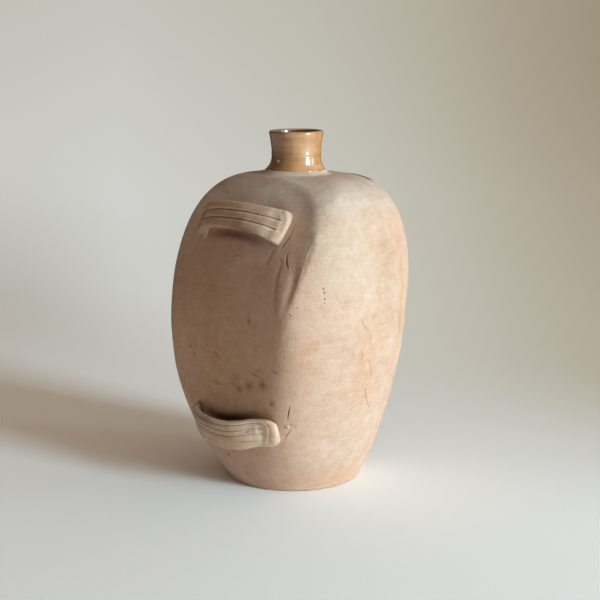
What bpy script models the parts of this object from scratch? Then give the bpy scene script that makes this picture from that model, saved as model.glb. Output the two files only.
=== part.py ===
# Terracotta flask: a thrown body paddled flat on two sides, a short glazed neck and four strap loops.
# Frame: metres, +Z up, origin at the middle of the foot, on the surface that the flask stands on.
# The paddled sides face -X, here called left, and +X, here called right.

import math
from collections import namedtuple

import bmesh
import bpy
from mathutils import Vector

# Thrown body, outside: heights are above the foot
FOOT_RADIUS = 0.0498
BELLY_RADIUS = 0.089
BELLY_HEIGHT = 0.135
BODY_HEIGHT = 0.2305
COLLAR_RADIUS = 0.0275
HEEL_ROUND = 0.003
FOOT_CURVE_POWER = 2.2
SHOULDER_CURVE_POWER = 2.5

# Thrown body, inside
WALL = 0.007
FLOOR = 0.008
CAVITY_HEEL_ROUND = 0.010

# Paddled sides: distance of each flat from the axis, straight up to the break and then closing in
PANEL_DISTANCE = 0.066
PANEL_TOP_DISTANCE = 0.031
PANEL_BREAK_HEIGHT = 0.110
PANEL_CLOSING_POWER = 1.9
PANEL_CREST_POWER = 0.7
SOFT_EDGE_POWER = 9.0
CRISP_EDGE_POWER = 22.0

# How far the soft clay slumped: the belly moved away from this azimuth, and the shoulder sank on
# the side that it moved to
SLUMP_AZIMUTH = math.radians(-50)
BELLY_SLUMP = 0.0061
WAIST_SLUMP = 0.0016
NECK_SHIFT = 0.002
SHOULDER_DROP_SHARE = 0.03

# Neck, with its glaze on: rises are above the body's seat
NECK_RISE = 0.0318
WAIST_RISE = 0.017
WAIST_RADIUS = 0.0184
LIP_RADIUS = 0.0203
LIP_THICKNESS = 0.0032
THROAT_RADIUS = 0.015
FILLET_RISE = 0.013
LIP_POWER = 1.5

# Glaze, and the seam that every two touching pieces keep between them
GLAZE = 0.0005
SEAM = 0.0003
GLAZE_EDGE_RISE = 0.0048

# Strap loops: heights are those of their feet, which for the upper ones are shares of the climb from
# the belly to the body's top. The rise is from the wall to the strap's middle, and the flare is how
# much wider a strap is at its feet.
STRAP_THICKNESS = 0.006
LOOP_RISE = 0.0125
LOOP_ROOT = 0.016
LOOP_POWER = 2.0
UPPER_STRAP_WIDTH = 0.0205
UPPER_FOOT_FLARE = 0.007
UPPER_LOOP_HALF_SPAN = 0.037
UPPER_LOOP_TILT = math.radians(28)
UPPER_LOOP_SHIFT = 0.0035
LEFT_LOOP_CLIMB_SHARE = 0.67
RIGHT_LOOP_CLIMB_SHARE = 0.8115
LOWER_STRAP_WIDTH = 0.023
LOWER_FOOT_FLARE = 0.0015
LOWER_LOOP_HALF_SPAN = 0.0337
LOWER_LOOP_HEIGHT = 0.0533
LOWER_LOOP_TILT = math.radians(-20)
LOWER_LOOP_SHIFT = -0.0042

# Strap section, across its width and through its thickness: three ribs outside, plain inside
STRAP_OUTLINE_SHARES = (
    (0.50, -0.10), (0.46, 0.34), (0.34, 0.50), (0.24, 0.46), (0.165, 0.30), (0.09, 0.46),
    (0.0, 0.50), (-0.09, 0.46), (-0.165, 0.30), (-0.24, 0.46), (-0.34, 0.50), (-0.46, 0.34),
    (-0.50, -0.10), (-0.40, -0.50), (0.40, -0.50),
)

# How finely the round pieces are divided
BODY_SIDES = 48
NECK_SIDES = 32
OUTSIDE_STEPS = (3, 7, 11)
INSIDE_STEPS = (2, 4, 7)
NECK_STEPS = 6
THROAT_STEPS = 3
LIP_STEPS = 4
LOOP_STEPS = 16

COAT = GLAZE + SEAM
LIP_MIDDLE_RADIUS = LIP_RADIUS - LIP_THICKNESS / 2
LIP_MIDDLE_RISE = NECK_RISE - LIP_THICKNESS / 2


def slump(height):
    """Sideways shift of the wall at a height, along the slump's azimuth."""
    share = min(max(height / BODY_HEIGHT, 0), 1)
    return (
        NECK_SHIFT * share
        - BELLY_SLUMP * math.sin(math.pi * share)
        - WAIST_SLUMP * math.sin(2 * math.pi * share)
    )


def panel_distance(height):
    climb = min(max(height - PANEL_BREAK_HEIGHT, 0) / (BODY_HEIGHT - PANEL_BREAK_HEIGHT), 1)
    left = (1 - climb**PANEL_CLOSING_POWER) ** PANEL_CREST_POWER
    return PANEL_TOP_DISTANCE + (PANEL_DISTANCE - PANEL_TOP_DISTANCE) * left


def wall_point(radius, height, angle, inset):
    """A point of the paddled and slumped wall, where the thrown wall had this radius and height."""
    share = min(max(height / BODY_HEIGHT, 0), 1)
    power = SOFT_EDGE_POWER + (CRISP_EDGE_POWER - SOFT_EDGE_POWER) * share
    flat = (abs(math.cos(angle)) * radius / (panel_distance(height) - inset)) ** power
    reach = radius * (1 + flat) ** (-1 / power)
    climb = min(max(height - BELLY_HEIGHT, 0) / (BODY_HEIGHT - BELLY_HEIGHT), 1)
    sideways = reach * math.cos(angle - SLUMP_AZIMUTH)
    drop = SHOULDER_DROP_SHARE * sideways * climb**2 * (1 - climb) * 27 / 4
    return Vector((
        reach * math.cos(angle) + slump(height) * math.cos(SLUMP_AZIMUTH),
        reach * math.sin(angle) + slump(height) * math.sin(SLUMP_AZIMUTH),
        height + drop,
    ))


def lower_radius(height, inset):
    fall = max(1 - height / BELLY_HEIGHT, 0)
    return BELLY_RADIUS - inset - (BELLY_RADIUS - FOOT_RADIUS) * fall**FOOT_CURVE_POWER


def thrown_profile(inset, mouth, bottom, heel, steps):
    """Radius and height up the thrown wall: the heel's arc, the lower wall, then the shoulder."""
    heel_steps, lower_steps, shoulder_steps = steps
    top = BODY_HEIGHT - inset
    wall_start = bottom + heel
    profile = []
    for step in range(heel_steps + 1):
        turn = math.pi / 2 * step / heel_steps
        radius = lower_radius(wall_start, inset) - heel * (1 - math.sin(turn))
        profile.append((radius, wall_start - heel * math.cos(turn)))
    for step in range(1, lower_steps):
        height = wall_start + (BELLY_HEIGHT - wall_start) * step / lower_steps
        profile.append((lower_radius(height, inset), height))
    for step in range(shoulder_steps + 1):
        turn = math.pi / 2 * step / shoulder_steps
        out = max(math.cos(turn), 0) ** (2 / SHOULDER_CURVE_POWER)
        up = math.sin(turn) ** (2 / SHOULDER_CURVE_POWER)
        profile.append((mouth + (BELLY_RADIUS - inset - mouth) * out, BELLY_HEIGHT + (top - BELLY_HEIGHT) * up))
    return profile


def wall_rings(profile, inset):
    turns = [2 * math.pi * i / BODY_SIDES for i in range(BODY_SIDES)]
    return [[wall_point(radius, height, turn, inset) for turn in turns] for radius, height in profile]


def neck_rings(profile):
    """Rings round the neck's axis, from pairs of radius and rise above the body's seat."""
    centre = Vector((
        NECK_SHIFT * math.cos(SLUMP_AZIMUTH),
        NECK_SHIFT * math.sin(SLUMP_AZIMUTH),
        BODY_HEIGHT,
    ))
    turns = [2 * math.pi * i / NECK_SIDES for i in range(NECK_SIDES)]
    return [
        [centre + Vector((radius * math.cos(turn), radius * math.sin(turn), rise)) for turn in turns]
        for radius, rise in profile
    ]


def clay_material(name, colour, roughness, coat=0):
    material = bpy.data.materials.new(name)
    material.use_nodes = True
    shader = material.node_tree.nodes["Principled BSDF"]
    shader.inputs["Base Color"].default_value = (*colour, 1)
    shader.inputs["Roughness"].default_value = roughness
    shader.inputs["Metallic"].default_value = 0
    shader.inputs["Coat Weight"].default_value = coat
    return material


def skin(name, rings, closed, material):
    """One closed body over rings that run up the outside: a hollow ring where closed, else capped.

    Every four-sided patch is split from its lower left to its upper right, seen from outside the
    flask, so that two skins a seam apart keep that seam all over.
    """
    mesh = bmesh.new()
    rows = [[mesh.verts.new(point) for point in ring] for ring in rings]
    pairs = list(zip(rows, rows[1:]))
    if closed:
        pairs.append((rows[-1], rows[0]))
    else:
        mesh.faces.new(reversed(rows[0]))
        mesh.faces.new(rows[-1])
    for low, high in pairs:
        for i in range(len(low)):
            j = (i + 1) % len(low)
            if low[i].co.z <= high[i].co.z:
                mesh.faces.new((low[i], low[j], high[j]))
                mesh.faces.new((low[i], high[j], high[i]))
            else:
                mesh.faces.new((low[i], low[j], high[i]))
                mesh.faces.new((low[j], high[j], high[i]))
    return finished(name, mesh, material)


def finished(name, mesh, material):
    data = bpy.data.meshes.new(name)
    mesh.to_mesh(data)
    mesh.free()
    data.materials.append(material)
    data.shade_smooth()
    data.set_sharp_from_angle(angle=math.radians(40))
    piece = bpy.data.objects.new(name, data)
    bpy.context.scene.collection.objects.link(piece)
    return piece


def make_body(material):
    """The thrown and paddled pot: open at the top, where its flat collar carries the neck."""
    outside = thrown_profile(0, COLLAR_RADIUS, 0, HEEL_ROUND, OUTSIDE_STEPS)
    hole = THROAT_RADIUS + COAT
    inside = thrown_profile(WALL, hole, FLOOR, CAVITY_HEEL_ROUND, INSIDE_STEPS)
    rings = wall_rings(outside, 0)
    rings += wall_rings([(hole, BODY_HEIGHT)], 0)
    rings += wall_rings(reversed(inside), WALL)
    return skin("body", rings, False, material)


def make_lining(material):
    """The glaze inside, a bag that follows the cavity and ends level with the collar."""
    back_inset, face_inset = WALL + SEAM, WALL + COAT
    mouth = THROAT_RADIUS + GLAZE
    back = thrown_profile(back_inset, mouth, FLOOR + SEAM, CAVITY_HEEL_ROUND, INSIDE_STEPS)
    face = thrown_profile(face_inset, THROAT_RADIUS, FLOOR + COAT, CAVITY_HEEL_ROUND, INSIDE_STEPS)
    rings = wall_rings(back, back_inset)
    rings += wall_rings([(mouth, BODY_HEIGHT)], back_inset)
    rings += wall_rings([(THROAT_RADIUS, BODY_HEIGHT)], face_inset)
    rings += wall_rings(reversed(face), face_inset)
    return skin("lining_glaze", rings, False, material)


def neck_radius(rise):
    """Outside of the glazed neck: a hollow fillet down to the collar, and a flare up to the lip."""
    fall = max(1 - rise / FILLET_RISE, 0)
    fillet = (COLLAR_RADIUS - WAIST_RADIUS) * (1 - math.sqrt(1 - fall**2))
    open_out = max(rise - WAIST_RISE, 0) / (LIP_MIDDLE_RISE - WAIST_RISE)
    return WAIST_RADIUS + fillet + (LIP_RADIUS - WAIST_RADIUS) * min(open_out, 1) ** LIP_POWER


def throat_radius(rise):
    open_out = max(rise - WAIST_RISE, 0) / (LIP_MIDDLE_RISE - WAIST_RISE)
    return THROAT_RADIUS + (LIP_RADIUS - LIP_THICKNESS - THROAT_RADIUS) * min(open_out, 1) ** LIP_POWER


def neck_skin(start, inset):
    """Profile up the outside from a rise, over the lip and down the throat to the seam, drawn in."""
    rises = [start + (LIP_MIDDLE_RISE - start) * step / NECK_STEPS for step in range(NECK_STEPS)]
    profile = [(neck_radius(rise) - inset, rise) for rise in rises]
    for step in range(LIP_STEPS + 1):
        turn = math.pi * step / LIP_STEPS
        round_off = LIP_THICKNESS / 2 - inset
        profile.append((
            LIP_MIDDLE_RADIUS + round_off * math.cos(turn),
            LIP_MIDDLE_RISE + round_off * math.sin(turn),
        ))
    for step in range(1, THROAT_STEPS + 1):
        rise = LIP_MIDDLE_RISE + (SEAM - LIP_MIDDLE_RISE) * step / THROAT_STEPS
        profile.append((throat_radius(rise) + inset, rise))
    return profile


def make_neck(material):
    """The clay neck, stepped in where the glaze starts so that the two lie flush."""
    ledge = GLAZE_EDGE_RISE - SEAM
    foot_rises = [SEAM + (ledge - SEAM) * share for share in (0, 1 / 3, 2 / 3, 1)]
    profile = [(neck_radius(rise), rise) for rise in foot_rises]
    return skin("neck", neck_rings(profile + neck_skin(ledge, COAT)), True, material)


def make_neck_glaze(material):
    face = neck_skin(GLAZE_EDGE_RISE, 0)
    back = neck_skin(GLAZE_EDGE_RISE, GLAZE)
    return skin("neck_glaze", neck_rings(face + back[::-1]), True, material)


def make_wall_cutter(material):
    """The body's outside, swollen by the seam: it trims the loops' roots to the wall."""
    profile = thrown_profile(-SEAM, COLLAR_RADIUS, 0, HEEL_ROUND, OUTSIDE_STEPS)
    cutter = skin("wall_cutter", wall_rings(profile, -SEAM), False, material)
    cutter.hide_render = True
    cutter.display_type = "WIRE"
    return cutter


def loop_path(half_span):
    """The strap's middle line in the loop's own plane, as distance along and rise from the wall."""
    path = [(half_span, -LOOP_ROOT)]
    for step in range(LOOP_STEPS + 1):
        turn = math.pi * step / LOOP_STEPS
        along = math.copysign(abs(math.cos(turn)) ** (2 / LOOP_POWER), math.cos(turn))
        rise = max(math.sin(turn), 0) ** (2 / LOOP_POWER)
        path.append((half_span * along, LOOP_RISE * rise))
    path.append((-half_span, -LOOP_ROOT))
    return path


Loop = namedtuple("Loop", "width flare half_span tilt shift")


def make_loop(name, side, loop, height, cutter, material):
    """A ribbed strap bent into a loop on one paddled side, its feet flared and pressed to the wall."""
    anchor = wall_point(thrown_radius(height), height, math.pi if side < 0 else 0, 0)
    anchor.y += loop.shift
    along = Vector((0, 1, 0))
    outward = Vector((side * math.cos(loop.tilt), 0, math.sin(loop.tilt)))
    across = Vector((-side * math.sin(loop.tilt), 0, math.cos(loop.tilt)))
    path = loop_path(loop.half_span)
    rings = []
    for i, (run, rise) in enumerate(path):
        before, after = path[max(i - 1, 0)], path[min(i + 1, len(path) - 1)]
        ahead = Vector((after[0] - before[0], after[1] - before[1])).normalized()
        middle = anchor + along * run + outward * rise
        face = outward * -ahead.x + along * ahead.y
        near_wall = 1 - min(max(rise / LOOP_RISE, 0), 1)
        width = loop.width + loop.flare * near_wall**2
        rings.append([
            middle + across * width * share + face * STRAP_THICKNESS * depth
            for share, depth in STRAP_OUTLINE_SHARES
        ])
    if side > 0:
        rings = [ring[::-1] for ring in rings]
    strap = skin(name, rings, False, material)
    trim = strap.modifiers.new("trim_to_wall", "BOOLEAN")
    trim.operation = "DIFFERENCE"
    trim.solver = "EXACT"
    trim.object = cutter
    return strap


def thrown_radius(height):
    """Outside radius of the thrown wall at a height."""
    if height < BELLY_HEIGHT:
        return lower_radius(height, 0)
    climb = min((height - BELLY_HEIGHT) / (BODY_HEIGHT - BELLY_HEIGHT), 1)
    out = (1 - climb**SHOULDER_CURVE_POWER) ** (1 / SHOULDER_CURVE_POWER)
    return COLLAR_RADIUS + (BELLY_RADIUS - COLLAR_RADIUS) * out


def build():
    for thing in list(bpy.data.objects):
        bpy.data.objects.remove(thing, do_unlink=True)
    clay = clay_material("bisque_clay", (0.66, 0.49, 0.36), 0.9)
    strap_clay = clay_material("handled_clay", (0.60, 0.45, 0.33), 0.8)
    honey = clay_material("honey_glaze", (0.50, 0.30, 0.13), 0.15, coat=1)
    make_body(clay)
    make_neck(clay)
    make_neck_glaze(honey)
    make_lining(honey)
    upper = Loop(
        UPPER_STRAP_WIDTH, UPPER_FOOT_FLARE, UPPER_LOOP_HALF_SPAN, UPPER_LOOP_TILT, UPPER_LOOP_SHIFT,
    )
    lower = Loop(
        LOWER_STRAP_WIDTH, LOWER_FOOT_FLARE, LOWER_LOOP_HALF_SPAN, LOWER_LOOP_TILT, LOWER_LOOP_SHIFT,
    )
    cutter = make_wall_cutter(clay)
    for word, side, share in (("left", -1, LEFT_LOOP_CLIMB_SHARE), ("right", 1, RIGHT_LOOP_CLIMB_SHARE)):
        upper_height = BELLY_HEIGHT + (BODY_HEIGHT - BELLY_HEIGHT) * share
        make_loop(f"upper_handle_{word}", side, upper, upper_height, cutter, strap_clay)
        make_loop(f"lower_handle_{word}", side, lower, LOWER_LOOP_HEIGHT, cutter, strap_clay)


build()
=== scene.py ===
import math
from functools import partial

import bmesh
import bpy
import numpy as np
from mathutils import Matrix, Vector
from mathutils.bvhtree import BVHTree


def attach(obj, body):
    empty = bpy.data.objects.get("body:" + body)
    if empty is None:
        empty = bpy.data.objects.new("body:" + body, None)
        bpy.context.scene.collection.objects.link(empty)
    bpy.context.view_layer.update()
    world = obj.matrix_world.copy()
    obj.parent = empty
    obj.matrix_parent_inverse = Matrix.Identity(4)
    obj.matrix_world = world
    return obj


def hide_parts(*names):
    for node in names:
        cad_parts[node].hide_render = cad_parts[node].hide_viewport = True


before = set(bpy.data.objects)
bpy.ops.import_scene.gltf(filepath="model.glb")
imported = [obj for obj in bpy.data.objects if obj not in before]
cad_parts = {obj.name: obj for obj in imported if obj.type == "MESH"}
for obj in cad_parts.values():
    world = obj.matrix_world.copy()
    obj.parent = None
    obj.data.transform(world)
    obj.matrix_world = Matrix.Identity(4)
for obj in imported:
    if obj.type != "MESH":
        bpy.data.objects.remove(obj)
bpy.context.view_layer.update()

mm = 0.001


def linear(hexColour):
    channels = [int(hexColour[i:i + 2], 16) / 255 for i in (1, 3, 5)]
    return (*[c / 12.92 if c <= 0.04045 else ((c + 0.055) / 1.055) ** 2.4 for c in channels], 1)


white = linear("#FFFFFF")


def addNode(tree, kind, inputs=(), **settings):
    # inputs by name or in order: values, sockets, or nodes, which stand for their first output in use
    node = tree.nodes.new(kind)
    for name, value in settings.items():
        setattr(node, name, value)
    for name, value in inputs.items() if isinstance(inputs, dict) else enumerate(inputs):
        if isinstance(value, bpy.types.Node):
            value = next(output for output in value.outputs if output.enabled)
        if isinstance(value, bpy.types.NodeSocket):
            tree.links.new(value, node.inputs[name])
        else:
            node.inputs[name].default_value = value
    return node


def between(low, high, value):
    return np.clip((value - low) / (high - low), 0, 1)


def fullTurn(sides):
    return np.linspace(0, 2 * math.pi, sides, endpoint=False)


def smooth(low, high, value):
    share = between(low, high, value)
    return share * share * (3 - 2 * share)


def plainTint(mesh, colour):
    return np.tile(linear(colour)[:3], (len(mesh.vertices), 1))


def blend(tint, colour, share):
    return tint * (1 - share) + np.array(linear(colour)[:3]) * share


# the photograph's view; marks are placed by its pixels
view = {
    "position": (-0.7699, -0.6522, 0.336),
    "turn": -50,      # degrees round from looking along +Y
    "tilt": 11.3,     # degrees down from level
    "lens": 81.54, "sensor": 36,  # mm
    "frame": 600,     # the photograph's width and height in pixels
}

cameraData = bpy.data.cameras.new("camera")
cameraData.lens = view["lens"]
cameraData.sensor_width = view["sensor"]
camera = bpy.data.objects.new("camera", cameraData)
camera.location = view["position"]
camera.rotation_euler = (math.radians(90 - view["tilt"]), 0, math.radians(view["turn"]))
bpy.context.scene.collection.objects.link(camera)
bpy.context.scene.camera = camera
bpy.context.view_layer.update()
eye = camera.matrix_world.copy()
rightward = eye.to_3x3() @ Vector((1, 0, 0))
onward = Vector((-rightward.y, rightward.x, 0))


def sightLine(pixel):
    half = view["frame"] / 2
    scale = view["lens"] / view["sensor"] * view["frame"]
    ray = Vector(((pixel[0] - half) / scale, (half - pixel[1]) / scale, -1))
    return (eye.to_3x3() @ ray).normalized()


# the flask's form, as the potter threw and paddled it; turns are radians round from +X
pot = {
    "footRadius": 49.8 * mm, "bellyRadius": 89 * mm, "bellyHeight": 135 * mm, "height": 230.5 * mm,
    "collarRadius": 27.5 * mm, "heelRound": 3 * mm, "footCurve": 2.2, "shoulderCurve": 2.5,
    "wall": 7 * mm, "floor": 8 * mm, "cavityHeel": 10 * mm,
    "panel": 66 * mm, "panelTop": 31 * mm, "panelBreak": 110 * mm, "panelClosing": 1.9, "panelCrest": 0.7,
    "softEdge": 9, "crispEdge": 22,
    # the paddled edge beside the round side that the camera sees: how much crisper it is, between which
    # shares of the way round and which heights, and where it begins to stand out
    "nearEdge": 6, "crispShares": (0.35, 0.6), "crispHeights": (210 * mm, 150 * mm),
    "outShares": (0.12, 0.62),
    "slumpTurn": math.radians(-50), "bellySlump": 6.1 * mm, "waistSlump": 1.6 * mm, "neckShift": 2 * mm,
    "shoulderDrop": 0.03,
}
# how far the paddled side stands out at its near edge, by height, both in mm
paddled = [(0, 0), (60, 0), (90, 2), (120, 4), (156, 6), (184, 0), (230, 0)]
neck = {
    "rise": 31.8 * mm, "waistRise": 17 * mm, "waistRadius": 18.4 * mm, "lipRadius": 20.3 * mm,
    "lipThickness": 3.2 * mm, "throatRadius": 15 * mm, "filletRise": 13 * mm, "lipPower": 1.5,
    "wideFillet": 4.5 * mm, "wideTurn": math.radians(140),  # the fillet reaches further on this side
    "glaze": 0.5 * mm, "seam": 0.3 * mm, "glazeEdge": 2.9 * mm, "sides": 96,
}
lipMiddle = (neck["lipRadius"] - neck["lipThickness"] / 2, neck["rise"] - neck["lipThickness"] / 2)
slumpWay = np.array((math.cos(pot["slumpTurn"]), math.sin(pot["slumpTurn"])))
neckMiddle = Vector((*(slumpWay * pot["neckShift"]), pot["height"]))


def slump(height):
    share = between(0, pot["height"], height)
    return (pot["neckShift"] * share - pot["bellySlump"] * np.sin(np.pi * share)
            - pot["waistSlump"] * np.sin(2 * np.pi * share))


def panelDistance(height):
    climb = between(pot["panelBreak"], pot["height"], height)
    left = (1 - climb ** pot["panelClosing"]) ** pot["panelCrest"]
    return pot["panelTop"] + (pot["panel"] - pot["panelTop"]) * left


def wallPoints(radius, height, turn, inset=0.0):
    share = between(0, pot["height"], height)
    nearSide = -np.sin(turn)
    near = smooth(*pot["crispShares"], nearSide) * (np.cos(turn) < 0) * smooth(*pot["crispHeights"], height)
    power = pot["softEdge"] + (pot["crispEdge"] - pot["softEdge"]) * share + pot["nearEdge"] * near
    out = 0.0
    for (low, before), (high, after) in zip(paddled, paddled[1:]):
        within = (height >= low * mm) & (height < high * mm)
        out = out + within * (before + (after - before) * smooth(low * mm, high * mm, height)) * mm
    out = out * smooth(*pot["outShares"], nearSide) * (np.cos(turn) < 0)
    flat = (np.abs(np.cos(turn)) * radius / (panelDistance(height) - inset + out)) ** power
    reach = radius * (1 + flat) ** (-1 / power)
    climb = between(pot["bellyHeight"], pot["height"], height)
    # 27 / 4 makes the drop's greatest share 1
    drop = pot["shoulderDrop"] * reach * np.cos(turn - pot["slumpTurn"]) * climb ** 2 * (1 - climb) * 27 / 4
    shift = slump(height)
    return np.stack([reach * np.cos(turn) + shift * slumpWay[0],
                     reach * np.sin(turn) + shift * slumpWay[1], height + drop], -1)


def lowerRadius(height, inset=0.0):
    fall = np.clip(1 - height / pot["bellyHeight"], 0, 1)
    return pot["bellyRadius"] - inset - (pot["bellyRadius"] - pot["footRadius"]) * fall ** pot["footCurve"]


def thrownProfile(inset, mouth, bottom, heel, steps):
    heelSteps, lowerSteps, shoulderSteps = steps
    top, start = pot["height"] - inset, bottom + heel
    turn = np.linspace(0, math.pi / 2, heelSteps + 1)
    rows = list(zip(lowerRadius(start, inset) - heel * (1 - np.sin(turn)), start - heel * np.cos(turn)))
    heights = np.linspace(start, pot["bellyHeight"], lowerSteps + 1)[1:-1]
    rows += list(zip(lowerRadius(heights, inset), heights))
    turn = np.linspace(0, math.pi / 2, shoulderSteps + 1)
    out = np.clip(np.cos(turn), 0, 1) ** (2 / pot["shoulderCurve"])
    up = np.sin(turn) ** (2 / pot["shoulderCurve"])
    rows += list(zip(mouth + (pot["bellyRadius"] - inset - mouth) * out,
                     pot["bellyHeight"] + (top - pot["bellyHeight"]) * up))
    return np.array(rows)


def evenRows(profile, spacing):
    # the profile again, at even steps along its length, so that no part of the wall is coarse
    lengths = np.concatenate([[0], np.cumsum(np.hypot(*np.diff(profile, axis=0).T))])
    places = np.linspace(0, lengths[-1], max(int(round(lengths[-1] / spacing)), 2) + 1)
    return np.stack([np.interp(places, lengths, column) for column in profile.T], -1)


def filletReach(turn):
    wide = np.clip(np.cos(turn - neck["wideTurn"]), 0, 1) ** 2
    return pot["collarRadius"] - neck["waistRadius"] + neck["wideFillet"] * wide


def filletLift(distance, turn):
    # how far the fillet raises the shoulder at a distance from the neck's axis
    fall = np.clip(1 - (distance - neck["waistRadius"]) / filletReach(turn), 0, 1)
    return neck["filletRise"] * (1 - np.sqrt(1 - fall ** 2))


def flare(rise, waist, lip):
    return waist + (lip - waist) * between(neck["waistRise"], lipMiddle[1], rise) ** neck["lipPower"]


def neckRadius(rise, turn):
    fall = np.clip(1 - rise / neck["filletRise"], 0, 1)
    fillet = filletReach(turn) * (1 - np.sqrt(1 - fall ** 2))
    return fillet + flare(rise, neck["waistRadius"], neck["lipRadius"])


def throatRadius(rise):
    return flare(rise, neck["throatRadius"], neck["lipRadius"] - neck["lipThickness"])


def neckPoints(radius, rise, turn):
    return np.stack([neckMiddle.x + radius * np.cos(turn), neckMiddle.y + radius * np.sin(turn),
                     neckMiddle.z + rise + 0 * turn], -1)


def ringMesh(name, rings, poles=False):
    # rings run from the bottom up the outside and down the inside, each a row of points anticlockwise
    rings = np.asarray(rings)
    count, sides = rings.shape[:2]
    points = rings.reshape(-1, 3)
    i = np.arange(sides)
    nextOne = (i + 1) % sides
    low = np.arange(count - 1 if poles else count)[:, None] * sides
    high = (low + sides) % (count * sides)
    faces = np.stack([low + i, low + nextOne, high + nextOne, high + i], -1).reshape(-1, 4).tolist()
    if poles:
        points = np.concatenate([points, [rings[0].mean(0), rings[-1].mean(0)]])
        last = (count - 1) * sides
        faces += np.stack([0 * i + count * sides, nextOne, i], -1).tolist()
        faces += np.stack([0 * i + count * sides + 1, last + i, last + nextOne], -1).tolist()
    mesh = bpy.data.meshes.new(name)
    mesh.from_pydata(points.tolist(), [], faces)
    mesh.shade_smooth()
    return mesh


def placePiece(name, mesh, material):
    mesh.materials.clear()
    mesh.materials.append(material)
    piece = bpy.data.objects.new(name, mesh)
    bpy.context.scene.collection.objects.link(piece)
    return piece


def readVectors(rows, name):
    values = np.empty(len(rows) * 3, np.float32)
    rows.foreach_get(name, values)
    return values.reshape(-1, 3).astype(float)


def readPoints(mesh):
    return readVectors(mesh.vertices, "co")


def writePoints(mesh, points):
    mesh.vertices.foreach_set("co", points.astype(np.float32).ravel())
    mesh.update()


def runNodes(piece, tree, values):
    # lays a node tree over a piece, and keeps the result as the piece's own plain mesh
    modifier = piece.modifiers.new(tree.name, "NODES")
    modifier.node_group = tree
    for item in tree.interface.items_tree:
        if item.item_type == "SOCKET" and item.in_out == "INPUT" and item.name in values:
            modifier[item.identifier] = values[item.name]
    graph = bpy.context.evaluated_depsgraph_get()
    baked = bpy.data.meshes.new_from_object(piece.evaluated_get(graph), depsgraph=graph)
    piece.modifiers.clear()
    baked.name = piece.name
    piece.data = baked


def newTree(name, sizes, counts=()):
    tree = bpy.data.node_groups.new(name, "GeometryNodeTree")
    tree.interface.new_socket("Geometry", in_out="OUTPUT", socket_type="NodeSocketGeometry")
    kinds = {"Geometry": "Geometry", **dict.fromkeys(sizes, "Float"), **dict.fromkeys(counts, "Int"),
             "Material": "Material"}
    for label, kind in kinds.items():
        tree.interface.new_socket(label, in_out="INPUT", socket_type="NodeSocket" + kind)
    add = partial(addNode, tree)
    return tree, add, add("NodeGroupInput").outputs


def endTree(add, geometry, material):
    real = add("GeometryNodeRealizeInstances", {"Geometry": geometry})
    done = add("GeometryNodeSetMaterial", {"Geometry": real, "Material": material})
    add("NodeGroupOutput", {"Geometry": done})


# what hands and tools leave on soft clay: lumps, small dents and the rings of throwing
def makeWorkedClay(ringDrift=0.045):
    tree, add, given = newTree("workedClay", ("Lump Size", "Lump Height", "Dent Size", "Dent Height",
                                              "Ring Pitch", "Ring Height", "Seed"))
    place = add("GeometryNodeInputPosition")
    # rings: noise that changes quickly with height and hardly at all round the pot
    pitch = add("ShaderNodeMath", (1.0, given["Ring Pitch"]), operation="DIVIDE")
    slow = add("ShaderNodeMath", (pitch, ringDrift), operation="MULTIPLY")
    stretch = add("ShaderNodeCombineXYZ", (slow, slow, pitch))
    wound = add("ShaderNodeVectorMath", (place, stretch), operation="MULTIPLY")
    total = 0.0
    for kind, detail in (("Lump", 1.0), ("Dent", 2.0), ("Ring", 1.0)):
        vector, scale = wound, 1.0
        if kind != "Ring":
            vector = place
            scale = add("ShaderNodeMath", (1.0, given[kind + " Size"]), operation="DIVIDE")
        noise = add("ShaderNodeTexNoise", {"Vector": vector, "W": given["Seed"], "Scale": scale,
                                           "Detail": detail}, noise_dimensions="4D")
        centred = add("ShaderNodeMath", (noise, 0.5), operation="SUBTRACT")
        share = add("ShaderNodeMath", (centred, given[kind + " Height"]), operation="MULTIPLY")
        total = add("ShaderNodeMath", (total, share), operation="ADD")
    outward = add("GeometryNodeInputNormal")
    push = add("ShaderNodeVectorMath", {0: outward, "Scale": total}, operation="SCALE")
    moved = add("GeometryNodeSetPosition", {"Geometry": given["Geometry"], "Offset": push})
    endTree(add, moved, given["Material"])
    return tree


workedClay = makeWorkedClay()


# listed marks: each sits where a line of sight meets the clay
class Surface:
    def __init__(self, mesh):
        points = readPoints(mesh)
        faces = [tuple(p.vertices) for p in mesh.polygons]
        self.tree = BVHTree.FromPolygons([tuple(p) for p in points], faces)

    def spotOn(self, pixel):
        spot = self.tree.ray_cast(eye.translation, sightLine(pixel))[0]
        return None if spot is None else np.array(spot)

    def lineOn(self, pixels):
        line = [spot for spot in map(self.spotOn, pixels) if spot is not None]
        return line * 2 if len(line) == 1 else line


def alongLine(points, line):
    # distance of every point to a line through several spots, and how far along it lies, from 0 to 1
    best = np.full(len(points), np.inf)
    share = np.zeros(len(points))
    for k, (a, b) in enumerate(zip(line, line[1:])):
        step = b - a
        t = np.clip(((points - a) @ step) / max(step @ step, 1e-12), 0, 1)
        gap = np.linalg.norm(points - (a + t[:, None] * step), axis=1)
        nearer = gap < best
        best[nearer] = gap[nearer]
        share[nearer] = (k + t[nearer]) / (len(line) - 1)
    return best, share


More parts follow.
